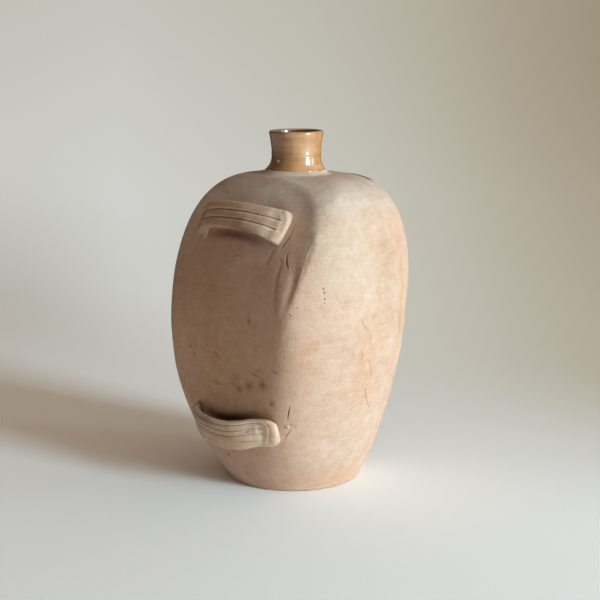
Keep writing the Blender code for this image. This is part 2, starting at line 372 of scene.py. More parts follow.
def cutFiner(mesh, surface, marks, cuts, margin):
    # the wall is divided again where fine marks go, so that they are as sharp as a needle leaves them
    points = readPoints(mesh)
    chosen = np.zeros(len(points), bool)
    for pixels, width, _, _, _ in marks:
        line = surface.lineOn(pixels)
        if line:
            chosen |= alongLine(points, line)[0] < width * 2 * mm + margin
    work = bmesh.new()
    work.from_mesh(mesh)
    work.verts.ensure_lookup_table()
    edges = [e for e in work.edges if chosen[e.verts[0].index] and chosen[e.verts[1].index]]
    bmesh.ops.subdivide_edges(work, edges=edges, cuts=cuts, use_grid_fill=True)
    work.to_mesh(mesh)
    work.free()
    mesh.shade_smooth()


def workMarks(mesh, surface, marks, tint, atEnds=0.35):
    # each mark: its pixels, half width and height in mm, its colour and how strongly it colours;
    # a line fades to a share of its strength at its ends
    points, normals = readPoints(mesh), readVectors(mesh.vertex_normals, "vector")
    for pixels, width, height, colour, strength in marks:
        line = surface.lineOn(pixels)
        if not line:
            continue
        gap, share = alongLine(points, line)
        ends = atEnds + (1 - atEnds) * np.sin(np.pi * np.clip(share, 0, 1)) if len(pixels) > 1 else 1.0
        cover = np.exp(-(gap / (width * mm)) ** 2) * ends
        points += normals * (cover * height * mm)[:, None]
        if colour:
            tint[:] = blend(tint, colour, np.clip(cover * strength, 0, 1)[:, None])
    writePoints(mesh, points)


def keepTint(mesh, tint):
    layer = mesh.attributes.new("clayAndPaintedLight", "FLOAT_COLOR", "POINT")
    colours = np.concatenate([tint, np.ones((len(tint), 1))], 1)
    layer.data.foreach_set("color", colours.astype(np.float32).ravel())


def newMaterial(name):
    material = bpy.data.materials.new(name)
    material.use_nodes = True
    material.node_tree.nodes.clear()
    return material, partial(addNode, material.node_tree)


bisque = {
    "grainSize": 1.0 * mm, "mottleSize": 7 * mm, "cloudSize": 36 * mm, "brushPitch": 1.3 * mm,
    "brushTurn": (0.24, -0.2, 0), "brushLength": 0.06, "grainDepth": 0.45 * mm, "brushDepth": 0.045 * mm,
    "cloud": "#F7F0EC", "mottle": "#F4ECE5", "brushed": "#FCF9F6", "grain": "#F6F2EE",
    # iron specks, drawn about twice their real half millimetre so that a few of them show
    "speckSize": 3.0 * mm, "speck": "#6E4A33", "speckStrength": 0.45, "speckEdge": (0.10, 0.24),
    "speckShare": (0.88, 0.99), "roughness": 0.9, "specular": 0.25,
}


def makeBisqueClay(name, look):
    # fired clay with no glaze: matt and chalky to the eye, blotched by the kiln, with a sandy grain
    material, add = newMaterial(name)
    place = add("ShaderNodeTexCoord").outputs["Object"]
    # the damp brush went round the pot a little aslant, and so do its lines
    aslant = add("ShaderNodeMapping", {"Vector": place, "Rotation": look["brushTurn"],
                                       "Scale": (look["brushLength"], look["brushLength"], 1.0)})
    # the clay's colour, with stains and the painted light and shade that the marks lay on
    tone = add("ShaderNodeAttribute", attribute_name="clayAndPaintedLight")
    patterns = {}
    for colour, vector, size, detail, rough, low in (
            ("cloud", place, "cloudSize", 4.0, 0.6, 0.35), ("mottle", place, "mottleSize", 5.0, 0.65, 0.35),
            ("brushed", aslant, "brushPitch", 3.0, 0.5, 0.38), ("grain", place, "grainSize", 3.0, 0.7, 0.35)):
        patterns[colour] = add("ShaderNodeTexNoise", {
            "Vector": vector, "Scale": 1 / look[size], "Detail": detail, "Roughness": rough})
        share = add("ShaderNodeMapRange", (patterns[colour], low, 1 - low))
        shade = add("ShaderNodeMix", {"Factor": share, 6: linear(look[colour]), 7: white}, data_type="RGBA")
        tone = add("ShaderNodeMix", {"Factor": 1.0, 6: tone, 7: shade}, data_type="RGBA",
                   blend_type="MULTIPLY")
    cells = add("ShaderNodeTexVoronoi", {"Vector": place, "Scale": 1 / look["speckSize"]}).outputs
    near = add("ShaderNodeMapRange", (cells["Distance"], *look["speckEdge"], 1.0, 0.0))
    chosen = add("ShaderNodeSeparateXYZ", (cells["Color"],))
    few = add("ShaderNodeMapRange", (chosen, *look["speckShare"]))
    speck = add("ShaderNodeMath", (near, few), operation="MULTIPLY")
    speck = add("ShaderNodeMath", (speck, look["speckStrength"]), operation="MULTIPLY")
    tone = add("ShaderNodeMix", {"Factor": speck, 6: tone, 7: linear(look["speck"])}, data_type="RGBA")
    brushBump = add("ShaderNodeBump", {"Height": patterns["brushed"], "Distance": look["brushDepth"],
                                       "Strength": 1.0})
    grainBump = add("ShaderNodeBump", {"Height": patterns["grain"], "Distance": look["grainDepth"],
                                       "Strength": 1.0, "Normal": brushBump})
    shader = add("ShaderNodeBsdfPrincipled", {
        "Base Color": tone, "Normal": grainBump,
        "Roughness": look["roughness"], "Specular IOR Level": look["specular"]})
    add("ShaderNodeOutputMaterial", {"Surface": shader})
    return material


honey = {
    "runWidth": 3.4 * mm, "runLength": 26 * mm, "runShare": 0.45, "ringPitch": 2.6 * mm, "ringDrift": 0.03,
    "poolSize": 9 * mm, "spread": (0.7, 1.75), "waveDepth": 0.12 * mm,
    # pooled: the colour of thick glaze, also painted shade inside the throat and on the side turned from the
    # windows
    "dark": "#8E5C34", "middle": "#BA8656", "middlePlace": 0.45, "pale": "#D09E6E", "pooledAndShaded": "#4A2C12",
    "roughness": 0.38, "coatRoughness": 0.06, "coatIor": 1.55,
}


def makeHoneyGlaze(name, look):
    # ash and iron glaze, brushed on thin and fired glossy: brown where it pools, honey where it breaks thin
    material, add = newMaterial(name)
    place = add("ShaderNodeTexCoord").outputs["Object"]
    fall = add("ShaderNodeMapping", {"Vector": place, "Scale": (
        1 / look["runWidth"], 1 / look["runWidth"], 1 / look["runLength"])})
    runs = add("ShaderNodeTexNoise", {"Vector": fall, "Scale": 1.0, "Detail": 3.0})
    drift = look["ringDrift"] / look["ringPitch"]
    wound = add("ShaderNodeMapping", {"Vector": place, "Scale": (drift, drift, 1 / look["ringPitch"])})
    rings = add("ShaderNodeTexNoise", {"Vector": wound, "Scale": 1.0, "Detail": 2.0})
    pools = add("ShaderNodeTexNoise", {"Vector": place, "Scale": 1 / look["poolSize"], "Detail": 3.0})
    thick = add("ShaderNodeMath", (runs, look["runShare"]), operation="MULTIPLY")
    for other in (rings, pools):
        thick = add("ShaderNodeMath", (thick, other), operation="ADD")
    spread = add("ShaderNodeMapRange", (thick, *look["spread"]))
    ramp = add("ShaderNodeValToRGB", {"Fac": spread})
    ramp.color_ramp.elements[0].color = linear(look["dark"])
    ramp.color_ramp.elements[1].color = linear(look["pale"])
    ramp.color_ramp.elements.new(look["middlePlace"]).color = linear(look["middle"])
    # thick glaze and painted shade, laid on the piece as a share
    pooledAndShaded = add("ShaderNodeAttribute", attribute_name="pooledAndShaded").outputs["Fac"]
    colour = add("ShaderNodeMix", {"Factor": pooledAndShaded, 6: ramp, 7: linear(look["pooledAndShaded"])}, data_type="RGBA")
    wave = add("ShaderNodeBump", {"Height": rings, "Distance": look["waveDepth"], "Strength": 1.0})
    shader = add("ShaderNodeBsdfPrincipled", {
        "Base Color": colour, "Normal": wave, "Roughness": look["roughness"], "Coat Normal": wave,
        "Coat Weight": 1.0, "Coat Roughness": look["coatRoughness"], "Coat IOR": look["coatIor"]})
    add("ShaderNodeOutputMaterial", {"Surface": shader})
    return material


bisqueClay = makeBisqueClay("bisque_clay", bisque)
handledClay = makeBisqueClay("handled_clay", {**bisque, "mottleSize": 5 * mm, "cloudSize": 16 * mm})
honeyGlaze = makeHoneyGlaze("honey_glaze", honey)
print("materials made")


body = {
    "sides": 344, "rowSpacing": 1.54 * mm, "facingTurn": math.radians(220), "facing": 0.42,
    "footShares": (0.3, 0.6, 0.85), "skirtRise": 8 * mm, "throatGap": 0.8 * mm, "flatFoot": 0.25 * mm,
    "drawBack": 0.6 * mm, "drawBackRise": (2.5 * mm, 4.5 * mm),  # the clay's, under the glaze's edge
    "markCuts": 3, "markMargin": 1.1 * mm, "filletClear": 2 * mm,
    "clay": "#D9BDAA", "shoulderClay": "#D1C2B7", "shoulderFrom": 196 * mm, "shoulderFull": 226 * mm,
    "worked": {"Lump Size": 34 * mm, "Lump Height": 1.3 * mm, "Dent Size": 11 * mm, "Dent Height": 0.35 * mm,
               "Ring Pitch": 5 * mm, "Ring Height": 0.22 * mm, "Seed": 3.0},
}

# broad marks by pixel, some of them painted shadows: pixels, half width mm, height mm, colour, strength
wallFormsAndPaintedShade = [
    ([(318, 236), (312, 256), (307, 272), (301, 288), (295, 304)], 3.0, 0.55, None, 0),
    ([(315, 237)], 3.2, 0.7, "#C3B7A0", 0.5),
    ([(296, 262), (294, 280), (289, 298), (284, 312)], 3.4, -1.1, "#A98C74", 0.35),
    ([(303, 268), (298, 284), (291, 304), (286, 318)], 2.6, 0.45, None, 0),
    ([(281, 264), (278, 275), (276, 288), (274, 300), (275, 311)], 1.9, -0.9, "#8E735E", 0.35),
    ([(273, 250), (270, 257), (266, 264)], 1.7, -0.6, "#7B5F4B", 0.25),
    ([(299, 182), (302, 203), (304, 218), (303, 236)], 13.0, -2.9, None, 0),
    ([(341, 182), (338, 192), (335, 205)], 13.0, 2.0, None, 0),
    ([(337, 196), (331, 208)], 7.0, 0.8, None, 0),
    ([(344, 192), (328, 197), (312, 203)], 5.5, -0.5, "#B5A498", 0.25),
    # painted shadow in the gap above the lower loop
    ([(208, 410), (217, 416.5), (229, 419), (243, 418.5), (255, 416)], 3.4, 0, "#5E4030", 0.85),
    ([(210, 411), (217, 415), (228, 417.5), (240, 417.5), (254, 415.5)], 3.4, 0, "#2A140C", 0.9),
    # painted shadow cast below the upper loop
    ([(212, 234), (228, 233.5), (246, 237), (262, 243)], 3.0, 0, "#6E4E3C", 0.85),
    ([(260, 170), (274, 170)], 2.6, 0, "#8E7A6C", 0.5),
    ([(270, 166), (284, 170), (300, 171.5), (316, 171), (326, 168.5)], 2.6, 0, "#A8998C", 0.6),
]

# fine marks by pixel, in the same order; the wall is cut finer around them
wallMarks = [
    ([(283, 263), (281, 272), (280, 278), (278, 286), (277, 294), (276, 300)], 0.5, 0.35, "#DCC7B4", 0.5),
    ([(279.5, 256), (280, 260), (283, 262)], 0.5, -0.4, "#7B5F4B", 0.5),
    ([(286.5, 255), (286, 262), (287.5, 268)], 0.75, -1.1, "#5A4030", 0.7),
    ([(287.6, 267.5)], 0.5, -0.5, "#33231A", 0.9),
    ([(313, 243), (309, 250), (306.5, 257), (304, 263)], 0.6, 0.3, "#F0E8DC", 0.75),
    ([(304, 243), (305.5, 250), (306, 255)], 0.5, 0.25, "#E9DFD2", 0.55),
    ([(303, 267), (301.5, 274), (298, 283)], 0.8, 0.2, "#E2D6C8", 0.45),
    ([(318, 233), (315.5, 230), (311, 231), (309, 236)], 0.7, 0.35, "#E6DACA", 0.4),
    # painted shadow in the gap along the upper loop's pressed end, then the lines that the tool left round
    # that end
    ([(294.3, 213.5), (294.7, 220), (291.7, 231), (286.3, 241), (281.3, 247.5)], 0.6, -0.9, "#4A3426", 0.8),
    ([(297.3, 217), (296.3, 223), (293.5, 231), (289.5, 238)], 0.45, -0.6, "#5A4030", 0.7),
    ([(294.4, 216), (293.8, 223), (291, 231), (286.8, 238.5)], 0.4, 0.35, "#D8C5B4", 0.5),
    ([(291, 209.5)], 0.8, 0.7, "#CDBBA9", 0.5), ([(296, 213)], 0.5, 0.4, "#D8C5B4", 0.4),
    ([(297, 220)], 0.5, 0.4, "#D8C5B4", 0.4),
    ([(233, 257), (237, 255), (240, 254.5)], 0.55, -0.4, "#5A4030", 0.5),
    # four pits in a column
    ([(323.4, 289)], 0.55, -0.6, "#4A3222", 1.0), ([(324.2, 292.7)], 0.6, -0.6, "#3A2618", 1.0),
    ([(324.6, 299.4)], 0.55, -0.6, "#5A3F2C", 1.0), ([(324.2, 303.2)], 0.42, -0.5, "#4A3222", 0.9),
    # a chain of fine cracks
    ([(363, 318), (362.8, 323), (365.5, 328), (367.5, 333)], 0.42, -0.35, "#A97C58", 0.75),
    ([(369, 334), (371, 337), (369.5, 344), (369.8, 350)], 0.42, -0.3, "#BC8F6A", 0.6),
    ([(363.5, 340), (364.5, 346)], 0.4, -0.2, "#BC8F6A", 0.5),
    ([(361.5, 350), (362, 356), (361, 361)], 0.5, -0.3, "#B8875F", 0.6),
    ([(369, 361), (370.5, 368), (371, 374), (369, 380)], 0.42, -0.35, "#B07D58", 0.7),
    ([(363.5, 382), (364, 385)], 0.5, -0.2, "#BC8F6A", 0.5),
    ([(366.5, 384), (365, 391), (366, 398), (368, 405), (368.5, 408)], 0.42, -0.35, "#A97C58", 0.75),
    ([(361, 402), (357, 404), (353, 408), (350, 411)], 0.6, -0.25, "#C59A74", 0.5),
    ([(371, 313), (374, 318), (372, 321)], 0.4, -0.2, "#BC8F6A", 0.45),
    ([(373, 354), (377, 357)], 0.4, -0.2, "#B8875F", 0.4),
    ([(381, 323), (380, 329)], 0.9, 0, "#D9B17E", 0.6),
    ([(383, 356), (385, 361)], 0.6, -0.1, "#B8917A", 0.4), ([(377, 391)], 0.6, -0.3, "#A97C58", 0.6),
    ([(364, 313), (368, 316)], 0.35, -0.2, "#C59A74", 0.5),
    # the scar beside the lower loop, with a chip of white at its middle
    ([(289.4, 406), (288.8, 411), (287.8, 416), (287.3, 420)], 0.42, -0.6, "#4E3726", 0.9),
    ([(283, 427), (286, 428.5)], 0.8, -0.5, "#6B4A36", 0.7), ([(288, 427)], 0.7, 0.3, "#F6EDE2", 0.95),
    ([(290, 426), (292.5, 425)], 0.4, -0.3, "#6B4A36", 0.6),
    ([(291, 429.5), (287, 434.5), (284, 439.5)], 0.42, -0.4, "#6B4A36", 0.75),
    ([(289, 430.5), (286, 434), (283.5, 438)], 0.4, 0.3, "#E2CFBC", 0.4),
    ([(295, 425), (295.6, 430)], 0.6, -0.2, "#A98163", 0.5),
    # smudges and small dents
    ([(249, 321)], 1.0, -0.2, "#5E4433", 0.75), ([(248, 315), (249, 326)], 1.6, 0, "#7B5F4B", 0.35),
    ([(248, 384), (250, 388)], 2.9, -0.3, "#7B5C46", 0.55),
    ([(261, 383), (262, 387)], 2.6, -0.3, "#7B5C46", 0.55),
    ([(238, 387), (242, 391)], 2.2, -0.2, "#7B5C46", 0.4),
    ([(231, 382), (235, 385)], 1.6, -0.2, "#7B5C46", 0.35),
    ([(270.5, 404), (271.5, 406)], 1.0, -0.3, "#5E4433", 0.7),
    ([(272, 371), (278, 374)], 1.0, -0.3, "#7B5F4B", 0.4),
    ([(250, 372), (256, 376), (264, 380)], 0.5, -0.3, "#6B4E3A", 0.5),
    ([(256, 370), (261, 373)], 0.5, -0.3, "#6B4E3A", 0.45), ([(191, 346)], 1.0, -0.3, "#5A4030", 0.7),
    ([(194, 353)], 1.0, -0.2, "#5E4433", 0.6),
    ([(213, 351), (217, 354), (219, 358)], 1.0, -0.3, "#6B4E3A", 0.5),
    ([(211, 380), (222, 384)], 0.7, -0.3, "#6B4E3A", 0.45),
    ([(228, 453), (229.5, 456)], 1.1, -0.6, "#6B4E3A", 0.7),
    ([(256, 453.5), (257.5, 455.5)], 0.9, -0.5, "#7A5A44", 0.6),
    ([(234, 458), (250, 464), (263, 471)], 0.8, -0.3, "#C8AE94", 0.2),
    ([(266, 455), (274, 457)], 0.5, -0.3, "#8A6A54", 0.4),
    ([(181, 374), (183.5, 379), (184.5, 384), (183, 388)], 0.7, -0.6, "#7B5F4B", 0.5),
    ([(227, 192)], 0.8, -0.4, "#5A4030", 0.6), ([(286, 185)], 0.7, 0.3, "#F4E8DA", 0.9),
    ([(190, 265)], 0.7, -0.3, "#4A3222", 0.6), ([(283, 357), (284, 360)], 0.6, -0.3, "#7B5F4B", 0.5),
    ([(289, 315), (290, 317)], 0.8, -0.4, "#7B5F4B", 0.6), ([(297, 308)], 0.7, -0.4, "#9A7B62", 0.5),
    ([(243, 335), (244, 337)], 0.6, 0, "#6B4E3A", 0.4), ([(207, 345)], 0.8, 0, "#6B4E3A", 0.4),
]

# soft stains and painted light and shade by pixel: pixel, width and height in mm, colour, strength
wallStainsAndPaintedLight = [
    ((368, 216), 8, 6, "#C2A07C", 0.35), ((383, 245), 4.5, 11, "#A99A80", 0.30),
    ((337, 227), 4.5, 4, "#CBAA88", 0.3), ((312, 345), 9, 8, "#DCA98C", 0.5),
    ((305, 372), 14, 16, "#D9B097", 0.3), ((366, 360), 8, 34, "#D6AE88", 0.35),
    # painted shade over the panel turned from the windows, which is also browner clay
    ((192, 280), 52, 40, "#BA9B82", 0.8), ((228, 372), 58, 50, "#CDAA8C", 0.85),
    # painted light on the shoulder above the upper loop and on the wall below it
    ((264, 196), 18, 9, "#F4F0EA", 0.85), ((260, 257), 10, 8, "#E9D2C4", 0.5),
    # the first is painted shade down the right-hand side
    ((386, 285), 17, 46, "#C8AA92", 0.75), ((249, 386), 4.5, 4, "#8E6E58", 0.45),
    ((262.5, 386), 4, 4, "#8E6E58", 0.45), ((239, 389), 3.5, 3, "#8E6E58", 0.35),
    ((236, 377), 4, 3, "#8E6E58", 0.3), ((272, 404), 2.5, 2.5, "#7B5C46", 0.4),
    ((256, 372), 4, 3, "#8E6E58", 0.3), ((226, 184), 15, 4, "#A08C7C", 0.4),
    ((250, 176), 14, 3, "#9C8878", 0.4), ((330, 190), 12, 3, "#A8988A", 0.35),
    # painted shade along the edge of the shaded panel
    ((279, 325), 5, 30, "#B8957C", 0.5), ((281, 455), 8, 22, "#BE9E86", 0.5),
    ((346, 250), 22, 32, "#D6C6B4", 0.7), ((346, 450), 20, 26, "#D6C6B4", 0.6),
    ((402, 290), 5, 50, "#CFA277", 0.5), ((330, 478), 40, 8, "#CFA686", 0.35),
]


def makeBody():
    outside = thrownProfile(0, pot["collarRadius"], 0, pot["heelRound"], (12, 80, 80))
    foot = [(outside[0][0] * share, 0) for share in body["footShares"]]
    outside = np.concatenate([foot, evenRows(outside, body["rowSpacing"])])
    spin = fullTurn(body["sides"])
    # closer together on the photographed side
    spin = spin - body["facing"] * np.sin(spin - body["facingTurn"])
    rings = [wallPoints(r, h, spin) for r, h in outside]
    start = filletLift(pot["collarRadius"], spin)
    for rise in (*np.linspace(0, neck["glazeEdge"], 7)[1:],
                 *np.linspace(neck["glazeEdge"], body["skirtRise"], 5)[1:]):
        rise = start + rise * (1 - start / body["skirtRise"])
        inset = body["drawBack"] * smooth(*body["drawBackRise"], rise)
        rings.append(neckPoints(neckRadius(rise, spin) - inset, rise, spin))
    throat = neck["throatRadius"] + body["throatGap"]
    rings.append(neckPoints(throat, body["skirtRise"], spin))
    inside = thrownProfile(pot["wall"], throat, pot["floor"], pot["cavityHeel"], (3, 4, 5))
    rings += [wallPoints(r, h, spin, pot["wall"]) for r, h in inside[::-1]]
    mesh = ringMesh("body_clay", rings, poles=True)
    points = readPoints(mesh)
    outer = np.arange(len(points)) < len(outside) * body["sides"]
    # the fillet lifts the shoulder where it reaches beyond the collar
    away = points[:, :2] - np.array(neckMiddle[:2])
    distance, turn = np.hypot(*away.T), np.arctan2(away[:, 1], away[:, 0])
    beyond = outer & (distance > neck["waistRadius"] + body["filletClear"])
    points[:, 2] += np.where(beyond, filletLift(distance, turn), 0)
    writePoints(mesh, points)
    piece = placePiece("body_clay", mesh, bisqueClay)
    surface = Surface(mesh)
    cutFiner(mesh, surface, wallMarks, body["markCuts"], body["markMargin"])
    runNodes(piece, workedClay, {**body["worked"], "Material": bisqueClay})
    mesh = piece.data
    points = readPoints(mesh)
    points[:, 2] = np.where(points[:, 2] < body["flatFoot"], 0, points[:, 2])
    writePoints(mesh, points)
    high = smooth(body["shoulderFrom"], body["shoulderFull"], points[:, 2:])
    tint = blend(plainTint(mesh, body["clay"]), body["shoulderClay"], high)
    # stains, with painted light and shade among them
    for pixel, width, height, colour, strength in wallStainsAndPaintedLight:
        spot = surface.spotOn(pixel)
        if spot is not None:
            away = points - spot
            level = np.hypot(away[:, 0], away[:, 1]) / (width * mm)
            cover = np.exp(-(level ** 2 + (away[:, 2] / (height * mm)) ** 2)) * strength
            tint = blend(tint, colour, cover[:, None])
    workMarks(mesh, surface, wallFormsAndPaintedShade, tint)
    workMarks(mesh, surface, wallMarks, tint)
    keepTint(mesh, tint)
    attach(piece, "root")
    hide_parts("body")
    print("body made,", len(mesh.vertices), "points")


makeBody()


coat = {
    "sides": 224, "edgeWaver": 0.7 * mm, "poolingAndShade": 1.0,
    "edgeWaves": ((0.6, 2, 1.1), (0.4, 5, 0.4), (0.25, 11, 2.0)),  # share, waves round the neck, phase
    # the glaze thins towards its edge, past a soft bead
    "thinning": 1.1 * mm, "bead": 0.35 * mm, "beadRise": 0.9 * mm, "beadWidth": 0.8 * mm,
    "beadShade": 0.25, "beadFade": (1.8 * mm, 0.4 * mm),
    "shadeSide": 0.5, "shadeFrom": 0.3, "shadeFull": -0.9,  # in lip radii towards the windows
    "insideFade": (0.3 * mm, 1.8 * mm), "wallFade": 1.2 * mm, "backInset": 0.7 * mm, "liningGap": 0.8 * mm,
    "ringWorked": {"Lump Size": 14 * mm, "Lump Height": 0.35 * mm, "Dent Size": 5 * mm,
                   "Dent Height": 0.10 * mm, "Ring Pitch": 2.2 * mm, "Ring Height": 0.16 * mm, "Seed": 8.0},
}


def lipAndThroat(inset, throatSteps):
    # radius and rise over the rolled lip and down the throat to the seam, drawn in by the inset
    turn = np.linspace(0, math.pi, 17)
    roundOff = neck["lipThickness"] / 2 - inset
    rows = list(zip(lipMiddle[0] + roundOff * np.cos(turn), lipMiddle[1] + roundOff * np.sin(turn)))
    rises = np.linspace(lipMiddle[1], neck["seam"], throatSteps + 1)[1:]
    return rows + list(zip(throatRadius(rises) + inset, rises))


def makeNeck():
    spin = fullTurn(neck["sides"])
    inset = neck["glaze"] + neck["seam"]
    start = body["skirtRise"] + neck["seam"]
    rises = np.linspace(start, lipMiddle[1], 16)
    rings = [neckPoints(neckRadius(rise, spin) - inset, rise, spin) for rise in rises]
    rings += [neckPoints(radius, rise, spin) for radius, rise in lipAndThroat(inset, 8) if rise > start]
    rings.append(neckPoints(neck["throatRadius"] + inset, start, spin))
    mesh = ringMesh("neck_clay", rings)
    keepTint(mesh, plainTint(mesh, body["clay"]))
    piece = placePiece("neck_clay", mesh, bisqueClay)
    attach(piece, "root")
    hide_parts("neck")


def makeNeckGlaze():
    spin = fullTurn(coat["sides"])
    waver = sum(share * np.sin(waves * spin + phase) for share, waves, phase in coat["edgeWaves"])
    edge = neck["glazeEdge"] + coat["edgeWaver"] * waver
    rings = []
    for share in (0, 0.012, 0.03, 0.06, *np.linspace(0.1, 1, 46)):
        rise = edge + (lipMiddle[1] - edge) * share
        run = rise - edge
        thin = neck["glaze"] * (1 - smooth(0, coat["thinning"], run))
        thin = thin - coat["bead"] * np.exp(-((run - coat["beadRise"]) / coat["beadWidth"]) ** 2)
        rings.append(neckPoints(neckRadius(rise, spin) - thin, rise, spin))
    rings += [neckPoints(radius, rise, spin) for radius, rise in lipAndThroat(0, 24)[1:]]
    rings += [neckPoints(radius, rise, spin) for radius, rise in lipAndThroat(neck["glaze"], 8)[::-1]]
    for share in np.linspace(1, 0.02, 8)[1:]:
        rise = edge + (lipMiddle[1] - edge) * share
        rings.append(neckPoints(neckRadius(rise, spin) - coat["backInset"], rise, spin))
    mesh = ringMesh("neck_glaze_coat", rings)
    points = readPoints(mesh) - np.array(neckMiddle)
    rise = points[:, 2]
    # painted shade inside the throat, where the glaze also lies thick
    inside = smooth(coat["wallFade"], 0, np.hypot(points[:, 0], points[:, 1]) - throatRadius(rise))
    inside = inside * smooth(*(neck["rise"] - down for down in coat["insideFade"]), rise)
    bead = smooth(*coat["beadFade"], rise - neck["glazeEdge"]) * coat["beadShade"]
    # painted shade: the glaze is darkened on the side turned from the windows, where the light is weak
    aside = (points[:, 0] * rightward.x + points[:, 1] * rightward.y) / neck["lipRadius"]
    thick = coat["shadeSide"] * smooth(coat["shadeFrom"], coat["shadeFull"], aside)
    # the pooled share: thick glaze, and painted shade inside the throat and on the side turned from the
    # windows
    layer = mesh.attributes.new("pooledAndShaded", "FLOAT", "POINT")
    pooledAndShaded = np.clip(inside * coat["poolingAndShade"] + bead + thick, 0, 1)
    layer.data.foreach_set("value", pooledAndShaded.astype(np.float32))
    piece = placePiece("neck_glaze_coat", mesh, honeyGlaze)
    runNodes(piece, workedClay, {**coat["ringWorked"], "Material": honeyGlaze})
    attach(piece, "root")
    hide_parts("neck_glaze")


def makeLining():
    spin = fullTurn(neck["sides"])
    backInset = pot["wall"] + neck["seam"]
    faceInset = backInset + neck["glaze"]
    steps = (5, 10, 20)
    face = thrownProfile(faceInset, neck["throatRadius"], pot["floor"] + coat["liningGap"],
                         pot["cavityHeel"], steps)
    back = thrownProfile(backInset, neck["throatRadius"] + neck["glaze"], pot["floor"] + neck["seam"],
                         pot["cavityHeel"], steps)
    rings = [wallPoints(r, h, spin, backInset) for r, h in back]
    rings.append(wallPoints(neck["throatRadius"] + neck["glaze"], pot["height"], spin, backInset))
    rings.append(wallPoints(neck["throatRadius"], pot["height"], spin, faceInset))
    rings += [wallPoints(r, h, spin, faceInset) for r, h in face[::-1]]
    piece = placePiece("lining_coat", ringMesh("lining_coat", rings, poles=True), honeyGlaze)
    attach(piece, "root")
    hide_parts("lining_glaze")


makeNeck()
makeNeckGlaze()
makeLining()
print("neck, glaze and lining made")


# the strap loops; paths run along the wall, rise from it and climb across it, in mm, with the swell there
upperStrap = {
    "height": 200 * mm, "tilt": math.radians(28), "shift": 3.5 * mm, "width": 20.5 * mm, "thickness": 6 * mm,
    "grooves": {"Groove Pitch": 6.2 * mm, "Groove Shift": 3 * mm, "Groove Low": -5 * mm,
                "Groove High": 5 * mm},
    "path": [(37.4, -9, -4, 1.25), (37, 0.5, -3.5, 1.22), (35, 4.4, -2.5, 1.14), (30.5, 7.9, -1.2, 1.05),
             (24, 10.1, -0.4, 1), (15, 11.8, 0, 1), (2, 12.8, 0, 1), (-8, 12.4, 0, 1),
             (-15, 11.1, -0.2, 1.02), (-21, 9.7, -0.4, 1.04), (-27, 7.6, -0.6, 1.08),
             (-30.8, 5.6, -0.8, 1.12), (-33.4, 4.4, -1, 1.15), (-36.6, 2.9, -1.3, 1.17),
             (-37.5, -1, -1.6, 1.18), (-37.7, -9, -1.8, 1.18)],
    "lean": 0.30, "leanFrom": 2 * mm, "leanAlong": (-22 * mm, -37 * mm), "clay": "#C6A992",
}
lowerStrap = {
    "height": 53.3 * mm, "tilt": math.radians(-20), "shift": -4.2 * mm,
    "width": 23.8 * mm, "thickness": 6 * mm,
    "grooves": {"Groove Pitch": 4.6 * mm, "Groove Shift": -0.6 * mm, "Groove Low": -11 * mm,
                "Groove High": 1.6 * mm},
    "path": [(34.6, -9, -1, 0.86), (34.2, 0.5, -1, 0.89), (32.4, 4, -1, 0.93), (28.6, 6.6, -1.1, 0.97),
             (23, 9, -1.5, 1), (14, 11.4, -1.9, 1), (4, 12.5, -2, 1), (-6, 12, -1.8, 1),
             (-12, 10.8, -1.3, 0.99), (-18, 8.5, -0.7, 0.98), (-23, 6.1, 0, 0.96), (-27, 4.4, 0, 0.95),
             (-31, 3.1, 0, 0.95), (-35, 1.9, 0, 0.94), (-38.2, 0.8, 0, 0.88), (-40.2, -0.4, 0, 0.76),
             (-41, -2, 0, 0.6)],
    "lean": 0, "leanFrom": 0, "leanAlong": (-22 * mm, -37 * mm), "clay": "#D8BCA4",
    # the lower loop's grooves take lighter grime and painted shade
    "wearAndPaintedLight": {"grimeAndShade": "#7A5A46", "grimeAndShadeStrength": 0.6},
}
farStrap = {**upperStrap, "height": 211.1 * mm, "shift": -1.5 * mm, "mirror": -1}
# what every strap shares: the grooves, where they close towards its ends, and the clay's unevenness
grooves = {"Groove Width": 0.9 * mm, "Groove Depth": 1.5 * mm, "Steps": 170, "Sides": 160}
grooveEnds = (0.36, 0.40)  # in shares of the length from the middle
strapWorked = {"Lump Size": 13 * mm, "Lump Height": 0.7 * mm, "Dent Size": 4 * mm, "Dent Height": 0.2 * mm,
               "Ring Pitch": 3 * mm, "Ring Height": 0.0}
# grime and painted shade for the grooves, rubbed wear and painted highlights for the edges and lips
wearAndPaintedLight = {"grimeAndShade": "#5E4230", "rubbedAndHighlight": "#E4D2C4", "grimeAndShadeStrength": 0.85, "rubbedAndHighlightStrength": 0.5,
        "lipStrength": 0.55, "edgeFacing": 0.62, "edgeWidth": 0.22,
        # depths in the groove, as shares: where grime and painted shade start, and where the pale lip beside
        # it, a painted highlight, comes and goes
        "grimeAndShadeCut": (0.5, 0.9), "lipCut": (0.1, 0.24), "lipEnd": (0.5, 0.32)}

